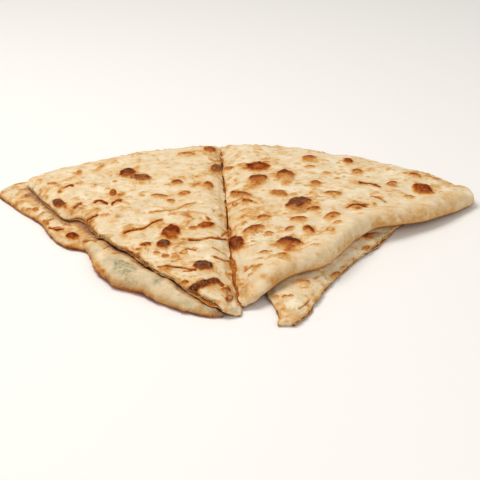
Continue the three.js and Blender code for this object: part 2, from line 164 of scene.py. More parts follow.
# ---- Browned spots, as they show in the photograph
# (x, y, width, height) in pixels, how brown in percent, and where they aren't 0 the tilt in degrees and
# how charred in percent. A "blot" is brown all over and darker at its back, a "bowl" has a dark back wall
# and a light front, and the darker backs are painted shade over the browning. A "ring" is brown round its
# edge, and a "stain" has no relief.
SPOTS = {
    ("upper_right", "stain"): [
        (239.5, 152, 9, 3, 25), (255, 149, 6, 4, 25), (279, 178, 8, 9, 50, 60), (294, 193.5, 11, 4, 25, 5),
        (300, 205.5, 16, 9, 95, 20, 80), (268, 212.7, 9, 2.5, 40, -5), (285, 213.5, 8, 2, 35),
        (332, 218.6, 8, 3, 70), (237, 246.5, 11, 9, 60, 15, 100), (301, 243.5, 9, 7, 50),
        (316, 239.5, 8, 2, 25), (256, 203.5, 8, 2, 30, -15), (388, 169, 7, 4, 32), (358, 208.8, 9, 4, 55),
        (246, 268, 6, 3, 35, 20), (244, 290, 30, 22, 13), (275, 281, 60, 14, 13, -18),
    ],
    ("upper_right", "bowl"): [
        (309, 158.7, 16, 6, 72, 0, 20), (310, 167.5, 12, 3.5, 50), (285.5, 176.7, 20, 12, 72),
        (258, 180.5, 21, 11, 85, 0, 30), (326, 173, 10, 3.5, 50, -5), (315.3, 183.2, 12, 6.5, 62, -8),
        (242, 195.5, 22, 5.5, 62, -10, 35), (299, 205, 28, 16, 95, 12, 55), (333, 194.5, 20, 6.5, 62, -3),
        (264, 219, 16, 7.5, 62, 3), (298.5, 219.6, 21, 6.5, 68, 6, 10), (332, 217.3, 18, 9, 60, 10),
        (337.5, 222.6, 10, 3, 45, 8), (253, 230, 22, 9, 82, 17, 35), (289.3, 229, 11.5, 5.5, 72, 30, 10),
        (308.4, 231, 14, 9, 72, -12, 5), (268.6, 233.4, 10, 4, 52), (288.5, 244, 29, 13, 90, -4, 50),
        (264, 252.3, 10, 4, 60, 10, 10), (281.6, 255.5, 12, 6, 45), (314.5, 246, 12, 3.5, 42, 8),
        (357.6, 172, 12.5, 6.5, 66), (414.8, 176, 14, 5, 58, -12), (391.9, 184, 13, 7.5, 66, 8),
        (409.5, 196.8, 11, 5, 60, -8), (356.3, 206.5, 21, 6, 60), (375, 204.6, 4, 4, 45, 40),
        (256, 268.5, 12, 4, 45, 18), (250.5, 275, 8, 3, 45, 30),
    ],
    ("upper_right", "blot"): [
        (347.7, 161, 10, 7, 50, -10), (257, 167.5, 25, 11, 85), (229, 168.5, 9, 4, 55, 15),
        (248, 201.3, 11, 3.5, 60, -5), (279.3, 194.3, 18, 8, 42, -8), (313, 209, 15, 5, 55, 10),
        (236.5, 244, 17, 16, 98, 15, 25), (423.6, 189.6, 22, 12, 82, -18),
    ],
    ("upper_right", "ring"): [
        (235, 204.5, 6, 5, 35), (330.6, 229.5, 10, 5, 30),
    ],
    ("upper_left", "blot"): [
        (209, 150, 13, 5.5, 62, -8), (79.5, 172.5, 6, 5, 42, 20), (127.5, 173.5, 17, 9, 88, 8, 40),
        (134.5, 177, 10, 5, 60, 15, 50), (142, 178.3, 20, 7.5, 70, 0, 95), (114.7, 181.5, 5, 3.5, 40),
        (216.5, 169, 13, 9, 50, 0, 90), (184.5, 193.5, 14, 5.5, 50, 8), (113, 193, 7, 9, 66, -30),
        (51.7, 183.3, 10, 2.5, 42, -5), (59.5, 191.6, 4.5, 4, 42), (58.6, 203.6, 13, 9.5, 95, -10, 100),
        (171.3, 233, 21, 15, 82), (163.4, 244.4, 15, 10, 98, 8, 40), (165.3, 256.2, 9, 4, 62, 5),
        (205.4, 226.2, 18, 6.5, 66, 4), (193, 228.5, 10, 4, 50), (228, 217.5, 5, 7, 50),
        (203, 266.4, 22, 10, 100, -4, 80), (184.9, 282, 8, 5, 60), (193.5, 289.5, 16, 9, 115, 32, 90),
        (203, 284.5, 16, 8, 95, 14, 100), (213, 281.8, 15, 8, 95, 0, 95), (220.5, 284.5, 8, 5, 72, -35, 40),
        (234, 283.5, 5, 5, 50), (130, 253, 10, 5, 60, -25),
    ],
    ("upper_left", "bowl"): [
        (186.5, 155.3, 20, 6, 50), (217.7, 161, 7, 2.5, 45), (101.7, 167.4, 7, 3, 42, 15),
        (177, 183.7, 14, 5.5, 72, 0, 60), (208, 186.5, 11, 9, 60, -25), (160.3, 196, 19, 4.5, 62, -4, 50),
        (171, 200.7, 10, 4, 70, 0, 30), (69.9, 185.6, 9, 3, 52, 5), (77.5, 206, 9, 3, 50, 38),
        (99.5, 201.8, 13, 3, 50, -4), (117, 202.3, 11, 4, 55, 18), (187.5, 206.3, 19, 4, 50, 14),
        (157, 253.2, 8, 4.5, 66), (174.6, 254.5, 8, 2.5, 42), (146.2, 244.2, 10, 3, 55, 5),
        (182.3, 242.3, 7, 2, 35, 8), (195, 249, 8, 2.5, 35, -10), (166, 268.2, 17, 5.5, 75, 0, 50),
        (225.4, 291.2, 12, 7, 62, -10, 15), (228.8, 275, 8, 2.5, 42),
    ],
    ("upper_left", "stain"): [
        (156, 174.5, 8, 3, 22), (197, 184.5, 14, 3, 42, 18), (121, 194, 12, 7, 42, 20),
        (143, 195, 8, 2, 35), (65, 205.5, 6, 8, 55), (91.5, 220.5, 10, 4, 40, 36), (118.5, 216.4, 9, 5, 30),
        (160, 211.4, 8, 2, 35, 5), (208, 219, 5, 10, 50, 30), (221, 215.2, 6, 3, 35),
        (211.5, 268, 6, 5, 62, -30), (138.5, 249, 10, 4, 42, 10), (195, 276, 6, 2, 30),
        (223, 254, 10, 3, 30, -25), (222, 260, 12, 3, 32, -25),
    ],
    ("upper_left", "ring"): [
        (184, 253.2, 9, 4, 40, 12), (228.8, 298.8, 9, 7.5, 55),
    ],
    # Of these, (86, 229.5) and (118, 249), under the upper left wedge's cut, and (220, 312), under its tip,
    # are painted shade. The rest are golden toast.
    ("lower_left", "stain"): [
        (28, 195.6, 14, 5, 50, 8, 30), (47.5, 206.5, 7, 5, 50, 0, 30), (116.7, 253.3, 13, 4, 40, -5),
        (104, 271, 5, 4, 40), (62, 220, 32, 12, 16, -25), (88, 233, 34, 14, 20, -28),
        (30, 200, 26, 12, 20, -30), (220, 312, 30, 12, 50, 0, 10), (86, 229.5, 34, 9, 42, -32),
        (118, 249, 28, 7, 42, -30), (74, 245, 16, 5, 30, 12), (20, 203, 26, 5, 28, 30),
        (38, 198, 14, 5, 45, 35), (106, 246, 30, 12, 20, -20), (66, 238, 34, 8, 18, -20),
    ],
    ("lower_left", "blot"): [
        (35.5, 209.6, 7, 5, 50), (71.8, 236.2, 14, 8, 100, 0, 20), (99, 236.5, 9, 4, 60, 0, 20),
        (45.5, 222.5, 8, 6, 50, -30),
    ],
    ("lower_left", "bowl"): [
        (56.5, 228.3, 13, 3.5, 50, 5), (121.3, 261.7, 6, 3, 52), (41, 215, 10, 3, 40, 35),
        (15, 188, 10, 3, 25),
    ],
    ("lower_right", "bowl"): [
        (276.5, 297.5, 7, 4, 50, 15), (285, 297, 7, 4.5, 58, 30), (290.5, 295.6, 7, 4, 55, 10),
        (303.4, 283.4, 18, 6, 48), (336.4, 274.8, 12, 7, 56, 18), (342.7, 267.6, 6, 3.5, 42, 10),
    ],
    ("lower_right", "stain"): [
        (300, 283.2, 6, 2, 60), (305, 287.5, 11, 2.5, 35), (284, 309.6, 8, 4, 22),
        (316, 277.5, 9, 3, 40, 20),
    ],
    ("lower_right", "blot"): [
        (371.3, 236, 18, 6, 75, 10, 10), (366, 248, 9, 5, 48, 10),
    ],
}

# Creases that the fold and the hot plate have pressed in: a line of pixels, and how brown each is.
CREASES = {
    "upper_left": [
        ([(85.5, 223), (88, 219.5), (92, 217), (97, 215.4)], 0.8),
        ([(74, 208.3), (77.5, 205.8), (81, 203.8)], 0.6), ([(64, 187), (69.5, 185.3), (73, 186)], 0.6),
        ([(94, 202.3), (99, 201.3), (107, 203.5)], 0.6), ([(112, 204.5), (116, 202), (121, 201.5)], 0.65),
        ([(124, 233), (133, 230), (145, 228), (152, 223.5), (162, 219.5)], 0.62),
        ([(189, 239), (200, 239.5), (210, 237.5), (226, 239.7)], 0.6),
        ([(158, 267), (176, 267), (196, 269.5)], 0.62), ([(150, 211.5), (176, 209), (196, 203)], 0.35),
        ([(184, 270.8), (192, 270)], 0.4), ([(141, 245), (150, 244.4)], 0.55),
        ([(180, 253.7), (187.5, 248.8), (196, 250.6)], 0.4), ([(212.5, 247.5), (220, 251)], 0.35),
        ([(213.7, 257.5), (225, 260.6), (231, 262)], 0.45), ([(222, 236), (229, 231)], 0.35),
        ([(172, 262), (181, 259.5)], 0.3),
    ],
    "upper_right": [
        ([(360, 183), (370, 182.8), (380, 186.5)], 0.62), ([(244, 271), (252, 266), (262, 264)], 0.35),
        ([(347, 207), (356, 205.5), (366, 207)], 0.6), ([(371, 196), (379, 196.5), (386, 201)], 0.35),
    ],
    "lower_left": [
        ([(49, 227.5), (57, 229.8), (63, 228.3)], 0.6), ([(44, 222), (49, 219.5), (54, 218)], 0.4),
        ([(20, 189.5), (27, 188.5), (33, 190)], 0.35), ([(62, 223), (70, 224.5)], 0.35),
        ([(84, 242), (92, 240.5), (98, 242)], 0.35), ([(104, 250), (110, 247.5)], 0.4),
    ],
    "lower_right": [
        ([(299, 308), (305, 305), (309, 301)], 0.3),
    ],
}

# Where the wedges look different. specks: how brown the small ones are, at least and at most. patches: how
# toasted the patches between them are. lumps: the height of a fold's small lumps. fold: how toasted a fold
# is on top, with painted shade in its hollows. side: how strong the painted shade and warm painted bounce
# are on a fold's side towards its underside. golden: toast all over. And last, how strong the painted shade
# is right next to an upper wedge.
USUAL_LOOK = dict(specks=(0.05, 0.28), patches=1.0, lumps=0.3, fold=1.0, side=0.2, golden=0.0, shade_beside=0.0)
LOOKS = {
    "upper_left": USUAL_LOOK | dict(patches=0.9, golden=0.02),
    "upper_right": USUAL_LOOK | dict(lumps=0.5, fold=0.9, side=0.09),
    "lower_left": USUAL_LOOK | dict(specks=(0.05, 0.34), patches=1.1, lumps=1.35, fold=0.5, side=0.42,
                                    golden=0.03, shade_beside=0.44),
    "lower_right": USUAL_LOOK | dict(specks=(0.04, 0.2), patches=0.8, shade_beside=0.04),
}

# Where herbs show grey-green through the dough. On the lower left roll the same tint is also painted shade:
# over the whole roll, strongest on its left part, and at its end under the upper left wedge's tip. (x, y,
# width, height) in pixels, and how strongly.
HERB_AND_SHADE_TINTS = {
    "lower_left": [(124, 271, 34, 18, 0.95), (150, 282, 56, 22, 0.55), (112, 262, 20, 16, 0.7),
                   (206, 308, 44, 14, 0.6), (184, 300, 50, 18, 0.55), (95, 250, 24, 12, 0.4),
                   (10, 190, 20, 12, 0.2), (160, 286, 150, 44, 0.35)],
    "upper_left": [(232, 310, 10, 8, 0.3), (120, 216, 12, 6, 0.4)],
    "upper_right": [(235, 275, 10, 14, 0.25), (244, 290, 14, 12, 0.25)],
    "lower_right": [(383, 238, 26, 12, 0.7), (296, 311, 20, 8, 0.35)],
}


# ---- Curves and noise
def smooth(low, high, x):
    t = np.clip((x - low) / (high - low), 0, 1)
    return t * t * (3 - 2 * t)


def lerp(a, b, t):
    return a + (b - a) * t


class Curve:
    """A Catmull-Rom spline through points, by share of its length."""

    STEPS = 60  # samples a span

    def __init__(self, points):
        p = np.array(points, float)
        padded = np.vstack([p[:1], p, p[-1:]])
        t = np.linspace(0, 1, self.STEPS, endpoint=False)[:, None]
        spans = []
        for a, b, c, d in zip(padded, padded[1:], padded[2:], padded[3:]):
            va, vb = (c - a) / 2, (d - b) / 2
            spans.append((2 * b - 2 * c + va + vb) * t**3 + (3 * c - 3 * b - 2 * va - vb) * t**2 + va * t + b)
        self.samples = np.vstack([*spans, p[-1:]])
        lengths = np.linalg.norm(np.diff(self.samples, axis=0), axis=1)
        self.travelled = np.concatenate([[0], np.cumsum(lengths)])
        self.length = self.travelled[-1]

    def at(self, share):
        s = np.clip(share, 0, 1) * self.length
        return np.stack([np.interp(s, self.travelled, self.samples[:, i]) for i in (0, 1)], -1)


def along(table, t):
    """The value at t of a table of (t, value) pairs, smooth between them."""
    at, values = np.array(table).T
    i = np.clip(np.searchsorted(at, t, side="right"), 1, len(at) - 1)
    return lerp(values[i - 1], values[i], smooth(0, 1, (t - at[i - 1]) / (at[i] - at[i - 1])))


def noise(points, size, seed, octaves=2, stretch=(1, 1, 1)):
    """Smooth noise from about -1 to 1 at points, with lumps of about that size in millimetres."""
    total, weight = 0.0, 0.0
    for octave in range(octaves):
        table = np.random.default_rng(seed + 101 * octave).uniform(-1, 1, (64, 64, 64))
        at = points / (np.array(stretch) * size) * 2**octave + 0.37 * seed
        cell = np.floor(at).astype(int)
        f = at - cell
        f = f * f * f * (f * (6 * f - 15) + 10)
        (x0, y0, z0), (x1, y1, z1) = np.moveaxis(cell & 63, -1, 0), np.moveaxis((cell + 1) & 63, -1, 0)
        fx, fy, fz = f[..., 0], f[..., 1], f[..., 2]
        low, high = (lerp(lerp(table[x0, y0, z], table[x1, y0, z], fx),
                          lerp(table[x0, y1, z], table[x1, y1, z], fx), fy) for z in (z0, z1))
        total = total + lerp(low, high, fz) / 2**octave
        weight += 1 / 2**octave
    return total / weight * 1.5


def wander(at, size, seed):
    """Smooth noise along a line, from about -1 to 1."""
    at = np.asarray(at, float)
    return noise(np.stack([at, np.zeros_like(at), np.zeros_like(at)], -1), size, seed, 1)


def rounded(distance, radius):
    """A round edge: 0 at the outline, 1 from the radius inwards."""
    return np.sqrt(np.maximum(0, 1 - (1 - np.clip(distance / radius, 0, 1)) ** 2))


def ripple(x, y):
    """The slow ripples of a rolled sheet that has been baked on a hot plate."""
    return (np.sin(0.075 * x + 0.03 * y + 1.1) * np.sin(0.11 * y - 0.025 * x)
            + 0.6 * np.sin(0.05 * x - 0.16 * y + 0.4))


# ---- A wedge's outline and thickness
class Wedge:
    """A wedge's outline in the plan, how thick it is, and the height at which it lies."""

    def __init__(self, name, left, right, rear, fold=None, roll=None, tip_sag=SAG, left_sag=SAG, lips=(),
                 top_lip=(), under_lip=()):
        self.name, self.fold, self.roll, self.tip_sag, self.left_sag = name, fold, roll, tip_sag, left_sag
        self.lips, self.top_lip, self.under_lip = dict(lips), dict(top_lip), dict(under_lip)
        self.left, self.right, self.rear = Curve(left), Curve(right), Curve([left[-1], *rear, right[-1]])
        self.length = (self.left.length + self.right.length) / 2
        self.cuts = [side for side in INWARD if side != fold]
        self.supports = None

    def plan(self, u, v):
        """The plan position at share u from the left side to the right one, and v from tip to rim."""
        across, onward = u[..., None], v[..., None]
        bulge = self.rear.at(u) - lerp(self.left.at(1.0), self.right.at(1.0), across)
        return lerp(self.left.at(v), self.right.at(v), across) + bulge * onward

    def outline(self):
        """The sides as one line of points in the plan."""
        step = Curve.STEPS // 3
        return np.vstack([self.left.samples[::-step], self.right.samples[::step]]).tolist()

    def roll_height(self, v):
        return along(self.roll, v) if self.roll else np.full(np.shape(v), BODY)

    def fold_radius(self, v, up=1):
        return (FOLD_OVER if up > 0 else FOLD_UNDER) * self.roll_height(v)

    def lip_height(self, side, front):
        """How high the cut edge is along its length, from closed to open."""
        seed = sum(map(ord, self.name + side))
        opening = wander(front, 17, seed) + 0.4 * wander(front, 5, seed + 1)
        extra = np.interp(front, *np.array(self.lips.get(side, [(0, 0)]), float).T)
        return np.maximum(2 * SHEET + CLOSED_GAP, CUT_LIP + extra + 0.6 * opening)

    def thickness(self, d, x, y):
        """Thickness at distances d in from the left side, the right side, the tip and the rim."""
        roll = self.roll_height(d["front"] / self.length)
        folded = 1 - smooth(ROLL_FLAT, ROLL_FADE, d[self.fold]) if self.fold else np.zeros_like(x)
        h = lerp(BODY, roll, folded)
        inland = np.minimum(np.minimum(d["left"], d["right"]), d["rear"])
        h = h + WAVE * ripple(x, y) * smooth(0, RIM_RISE, inland)
        for side in self.cuts:
            h = lerp(np.minimum(h, CUT_EDGE), h, smooth(0, CUT_BAND, d[side]))
            h = lerp(np.minimum(h, self.lip_height(side, d["front"])), h, smooth(0, LIP_BAND, d[side]))
        rim = lerp(RIM, np.maximum(RIM, FOLD_AT_RIM * roll), folded)
        h = lerp(np.minimum(h, rim), h, smooth(RIM_BAND - RIM_RISE / 2, RIM_BAND + RIM_RISE / 2, d["rear"]))
        return lerp(np.minimum(h, TIP), h, smooth(0, TIP_SOFT, d["front"]))

    def base(self, x, y, d):
        """The height at which the wedge lies: it follows what is under it, and bends down past that."""
        if self.supports is None:
            return np.zeros_like(x)
        sag = lerp(self.left_sag, SAG, smooth(0, CUT_SOFT, d["left"]))
        sag = lerp(self.tip_sag, sag, smooth(0, TIP_SOFT, d["front"]))
        z = np.zeros_like(x)
        support_x, support_y, support_z = self.supports.T
        for row in range(len(x)):
            dx = x[row][:, None] - support_x
            dy = y[row][:, None] - support_y
            lifted = support_z + REST_GAP - sag[row][:, None] * (dx * dx + dy * dy)
            z[row] = np.maximum(0, lifted.max(1))
        return z


WEDGE = {name: Wedge(name, **spec) for name, spec in WEDGES.items()}


# ---- Stations along and across a wedge
ROW_STEP = 1.0  # from row to row along a wedge
ROW_ROOM = 0.35  # an even row stays this far from the rows of the round edges
LEAST_STEP = 0.02  # rows closer than this are made one
MIDDLE_COLUMNS = {"upper_left": 200, "upper_right": 188, "lower_left": 150, "lower_right": 150}
COARSE = 4  # only one in so many columns runs through the underside and the pocket
FOLD_STEPS = 12  # steps round a folded edge
EDGE_STEPS = 6  # and round the tip and the rim
LIP_STEPS = 3  # and down over a cut edge


def arc(steps):
    """From 0 to 1 as the steps of a quarter circle."""
    return 1 - np.cos(np.linspace(0, math.pi / 2, steps + 1))


def row_stations(wedge):
    """Distances of the rows from the tip, and which of them the pocket has."""
    pocket = [SHEET, wedge.length - RIM_BAND]
    tip_edge, rim_edge = TIP_ROUND * arc(EDGE_STEPS), wedge.length - RIM_ROUND * arc(EDGE_STEPS)
    fixed = np.concatenate([tip_edge, SHEET + tip_edge, rim_edge - RIM_BAND, rim_edge])
    even = np.linspace(0, wedge.length, int(wedge.length / ROW_STEP))
    free = even[np.abs(even[:, None] - fixed).min(1) > ROW_ROOM]
    rows = np.unique(np.concatenate([fixed, free]).round(6))
    keep = np.concatenate([[True], np.diff(rows) > LEAST_STEP])
    keep |= np.isin(rows, np.round(pocket + [wedge.length], 6))
    rows = rows[keep]
    first, last = (int(np.abs(rows - at).argmin()) for at in pocket)
    return rows, slice(first, last + 1)


def edge_stations(wedge, side, v):
    """Distances in from a side, over its round edge: a row for each v."""
    if side == wedge.fold:
        return wedge.fold_radius(v)[:, None] * arc(FOLD_STEPS)[None]
    return np.broadcast_to(LIP_ROUND * arc(LIP_STEPS), (len(v), LIP_STEPS + 1))


def spaced(left, right, full, count):
    """Distances in from the left side, over both of the edges and in even steps between them."""
    share = np.linspace(0, 1, count + 2)[1:-1]
    return np.hstack([left, lerp(left[:, -1:], full - right[:, -1:], share), full - right[:, ::-1]])


def column_stations(wedge, v, full):
    """Distances in from the left side, a row for each v, and which of the columns are coarse ones."""
    left, right = edge_stations(wedge, "left", v), edge_stations(wedge, "right", v)
    stations = spaced(left, right, full, MIDDLE_COLUMNS[wedge.name])
    coarse = np.zeros(stations.shape[1], bool)
    coarse[: left.shape[1]] = True
    coarse[-right.shape[1]:] = True
    coarse[left.shape[1] + COARSE // 2: -right.shape[1]: COARSE] = True
    return stations, coarse


TOP_SEED, UNDER_SEED = 11, 53  # for how unevenly the knife went through the two sheets
KNIFE_WAVES = [(0.55, 11, 0), (0.3, 3.2, 7)]  # height, length and seed of its waves
KNIFE_FADE = 4.0  # the waves end this far from the tip and the rim
KNIFE_REACH = 3.5  # how far in from a cut they move points
BASE_STEP = 6  # the height of the underside is worked out at one in so many columns


class Sheets:
    """The outer and inner faces of a wedge's dough, as grids of points: rows from the tip to the rim,
    columns from left to right."""

    def __init__(self, wedge, rows):
        v = rows / wedge.length
        across = wedge.right.at(v) - wedge.left.at(v)
        self.wedge, self.front, self.v = wedge, rows[:, None], v[:, None]
        self.full = np.linalg.norm(across, axis=1)[:, None]
        self.onward = (across / self.full)[:, None]
        self.stations, self.coarse = column_stations(wedge, v, self.full)
        self.ends = rounded(self.front, TIP_ROUND) * rounded(wedge.length - self.front, RIM_ROUND)
        self.base_stations = self.stations[:, ::BASE_STEP]
        self.base_heights = wedge.base(*self.place(self.base_stations, 0))

    def edges(self, at):
        """How far stations are from the nearest cut, from the fold and from the tip."""
        distances = {"left": at, "right": self.full - at, None: np.full(at.shape, FAR)}
        cut = np.minimum.reduce([distances[side] for side in self.wedge.cuts])
        return np.stack([cut, distances[self.wedge.fold], np.broadcast_to(self.front, at.shape)], -1)

    def cut_shift(self, at, seed):
        """How far the knife's uneven line moves points that are near a cut, left and right."""
        shift = np.zeros_like(at)
        front, rear = self.front, self.wedge.length - self.front
        fade_ends = smooth(0, KNIFE_FADE, front) * smooth(0, KNIFE_FADE, rear)
        reaches = self.wedge.under_lip if seed == UNDER_SEED else self.wedge.top_lip
        for side in self.wedge.cuts:
            own = seed + (side == "right")
            line = sum(height * wander(front, size, own + more) for height, size, more in KNIFE_WAVES)
            line = line - along(reaches.get(side, [(0, 0), (1, 0)]), front)
            near = 1 - smooth(0, KNIFE_REACH, self.from_side(at, side))
            shift = shift + INWARD[side] * line * fade_ends * near
        return shift

    def place(self, at, seed):
        """Plan positions and edge distances for stations at distances in from the left."""
        moved = at + self.cut_shift(at, seed)
        inside = np.clip(moved, 0, self.full)
        p = self.wedge.plan(inside / self.full, np.broadcast_to(self.v, at.shape))
        p = p + self.onward * (moved - inside)[..., None]
        front = np.broadcast_to(self.front, at.shape)
        d = {"left": inside, "right": self.full - inside, "front": front, "rear": self.wedge.length - front}
        return p[..., 0], p[..., 1], d

    def base_at(self, at):
        """The height on which the wedge lies, at stations."""
        return np.stack([np.interp(*row) for row in zip(at, self.base_stations, self.base_heights)])

    def from_side(self, at, side):
        return at if side == "left" else self.full - at

    def shell(self, at, seed, up, wall, swell):
        """The upper or the lower face, so far in from the dough's own. up is 1 or -1, and swell is from 0,
        where the two faces meet, to 1."""
        x, y, d = self.place(at, seed)
        h = self.wedge.thickness(d, x, y)
        share = np.full(at.shape, 0.5)
        if self.wedge.fold:
            from_fold = self.from_side(at, self.wedge.fold)
            radius = self.wedge.fold_radius(self.v, up)
            swell = swell * rounded(from_fold - wall, np.maximum(LEAST_ROUND, radius - wall))
            share = lerp(FOLD_LEVEL, 0.5, smooth(0, 2 * self.wedge.fold_radius(self.v), from_fold))
        part = h * (1 - share if up > 0 else share) - wall
        z = self.base_at(at) + h * share + up * np.maximum(CLOSED_GAP / 2, part) * swell
        return np.stack([x, y, z], -1)

    def outer(self, at, seed, up):
        """The top or the underside."""
        lip = np.zeros_like(at)
        for side in self.wedge.cuts:
            lip = lip + LIP_SINK * LIP_ROUND * (1 - rounded(self.from_side(at, side), LIP_ROUND))
        return self.shell(at, seed, up, lip, self.ends)

    def inner(self, at, seed, up):
        """The ceiling or the floor of the pocket."""
        rear = self.wedge.length - RIM_BAND
        ends = rounded(self.front - SHEET, TIP_ROUND) * rounded(rear - self.front, RIM_ROUND)
        return self.shell(at, seed, up, SHEET, ends)


# ---- Meshes
class Patchwork:
    """Grids of points that share their edges, put together into one closed mesh. Each point keeps which
    part of the dough it is on, and how far it is from a cut, from the fold and from the tip."""

    def __init__(self):
        self.points, self.parts, self.edges, self.quads, self.fans, self.count = [], [], [], [], [], 0

    def add(self, grid, part, flip=False, edges=None):
        """A grid of quads, seen from above or from its right when its rows run away from the eye."""
        rows, columns = grid.shape[:2]
        index = self.count + np.arange(rows * columns).reshape(rows, columns)
        quads = np.stack([index[:-1, :-1], index[:-1, 1:], index[1:, 1:], index[1:, :-1]], -1).reshape(-1, 4)
        self.take(grid, part, edges)
        self.quads.append(quads[:, ::-1] if flip else quads)
        return index

    def take(self, grid, part, edges=None):
        """Points that have no faces yet."""
        flat = grid.reshape(-1, 3)
        self.points.append(flat)
        self.parts.append(np.full(len(flat), part))
        self.edges.append(np.full((len(flat), 3), FAR) if edges is None else edges.reshape(-1, 3))
        self.count += len(flat)

    def welded(self):
        """Points, what is known of them, and faces, with equal points made one. A face that is folded up,
        and two that lie on each other, are left out, and so are points on no face."""
        points = np.vstack(self.points)
        _, kept, same = np.unique((points * 1e4).round().astype(np.int64), axis=0, return_index=True,
                                  return_inverse=True)
        same = same.ravel()
        quads = same[np.vstack(self.quads)]
        whole = ((quads != np.roll(quads, 1, 1)) & (quads != np.roll(quads, 2, 1))).all(1)
        _, which, times = np.unique(np.sort(quads, 1), axis=0, return_inverse=True, return_counts=True)
        whole &= times[which.ravel()] == 1
        faces = quads[whole].tolist()
        small = {}
        for face in quads[~whole].tolist() + [same[fan].tolist() for fan in self.fans]:
            corners = without_spikes(face)
            if len(corners) > 2:
                small.setdefault(frozenset(corners), []).append(corners)
        faces += [alike[0] for alike in small.values() if len(alike) % 2]
        used = np.zeros(len(kept), bool)
        used[[corner for face in faces for corner in face]] = True
        place = (np.cumsum(used) - 1).tolist()
        faces = [[place[corner] for corner in face] for face in faces]
        kept = kept[used]
        return points[kept], np.concatenate(self.parts)[kept], np.vstack(self.edges)[kept], faces


def without_spikes(face):
    """The corners of a face without those that are there twice running, or run out and straight back."""
    corners = list(face)
    i = 0
    while len(corners) > 2 and i < len(corners):
        if corners[i] == corners[i - 1]:
            del corners[i]
            i = 0
        elif corners[i] == corners[i - 2]:
            for corner in sorted((i % len(corners), (i - 1) % len(corners)), reverse=True):
                del corners[corner]
            i = 0
        else:
            i += 1
    return corners


def normals_of(points, faces):
    """Area-weighted normals at the points, and the area round each."""
    normals = np.zeros_like(points)
    for count in sorted({len(face) for face in faces}):
        corners = np.array([face for face in faces if len(face) == count])
        p = points[corners] - points[corners[:, :1]]
        area = np.cross(p, np.roll(p, -1, 1)).sum(1)
        for axis in range(3):
            weights = np.repeat(area[:, axis], count)
            normals[:, axis] += np.bincount(corners.ravel(), weights, len(points))
    areas = np.linalg.norm(normals, axis=1)
    return normals / np.maximum(areas, 1e-12)[:, None], areas


def add_object(name, data):
    thing = bpy.data.objects.new(name, data)
    bpy.context.scene.collection.objects.link(thing)
    return thing


def make_piece(name, points, faces, node, slot, attributes):
    """Makes an object of a mesh in the layout, which takes the place of a node of the solids."""
    mesh = bpy.data.meshes.new(name)
    mesh.from_pydata(((points + LAYOUT_SHIFT) * MM).tolist(), [], faces)
    for label, values in attributes.items():
        mesh.attributes.new(label, "FLOAT", "POINT").data.foreach_set("value", values.astype(np.float32))
    mesh.materials.append(MATERIALS[slot])
    mesh.shade_smooth()
    piece = add_object(name, mesh)
    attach(piece, "root")
    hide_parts(node)


# ---- Dough
TOP, LIP, POCKET, UNDER = range(4)  # where a point of the dough is


def dough_mesh(wedge):
    """The dough's points in millimetres, where each one is, and its faces."""
    rows, pocket = row_stations(wedge)
    sheets = Sheets(wedge, rows)
    coarse = sheets.stations[:, sheets.coarse]
    top = sheets.outer(sheets.stations, TOP_SEED, 1)
    under = sheets.outer(coarse, UNDER_SEED, -1)
    ceiling = sheets.inner(coarse, TOP_SEED, 1)[pocket]
    ground = sheets.inner(coarse, UNDER_SEED, -1)[pocket]
    for end in (0, -1):
        under[end] = top[end, sheets.coarse]
        ceiling[end] = ground[end] = (ceiling[end] + ground[end]) / 2

    patchwork = Patchwork()
    patchwork.add(top, TOP, edges=sheets.edges(sheets.stations))
    # The underside has fewer columns than the top, so its first and last rows are fitted to it.
    under_index = patchwork.add(under[1:-1], UNDER, flip=True, edges=sheets.edges(coarse)[1:-1])
    fit_end(patchwork, under_index[0], top[0], sheets.coarse, flip=False)
    fit_end(patchwork, under_index[-1], top[-1], sheets.coarse, flip=True)
    patchwork.add(ceiling, POCKET, flip=True)
    patchwork.add(ground, POCKET)
    for side in wedge.cuts:
        column = 0 if side == "left" else -1
        ends = [grid[:, column] for grid in (top, under, ceiling, ground)]
        add_lips(patchwork, sheets, side, pocket, *ends)
    return patchwork.welded()


def fit_end(patchwork, under_row, end_row, coarse, flip):
    """Faces from a row of the underside to the finer row of points at its end."""
    index = patchwork.count + np.arange(len(end_row))
    patchwork.take(end_row, TOP)
    stops = np.flatnonzero(coarse)
    for i, (start, stop) in enumerate(zip(stops, stops[1:])):
        fan = np.concatenate([under_row[i: i + 2], index[start: stop + 1][::-1]])
        patchwork.fans.append(fan[::-1] if flip else fan)


def add_lips(patchwork, sheets, side, pocket, upper, lower, ceiling, ground):
    """The ends of the two sheets along a cut, and the sealed dough where there is no pocket."""
    middle = (upper + lower) / 2
    under_upper, over_lower = middle.copy(), middle.copy()
    under_upper[pocket] = ceiling
    over_lower[pocket] = ground
    outward = np.concatenate([sheets.onward[:, 0], np.zeros((len(upper), 1))], 1)
    outward *= -INWARD[side] * LIP_BULGE * sheets.ends
    for edges in ((upper, under_upper), (over_lower, lower)):
        between = (edges[0] + edges[1]) / 2 + outward
        strip = np.stack([edges[0], between, edges[1]], 1)
        patchwork.add(strip, LIP, flip=side == "left", edges=np.zeros(strip.shape[:2] + (3,)) + [0, FAR, FAR])


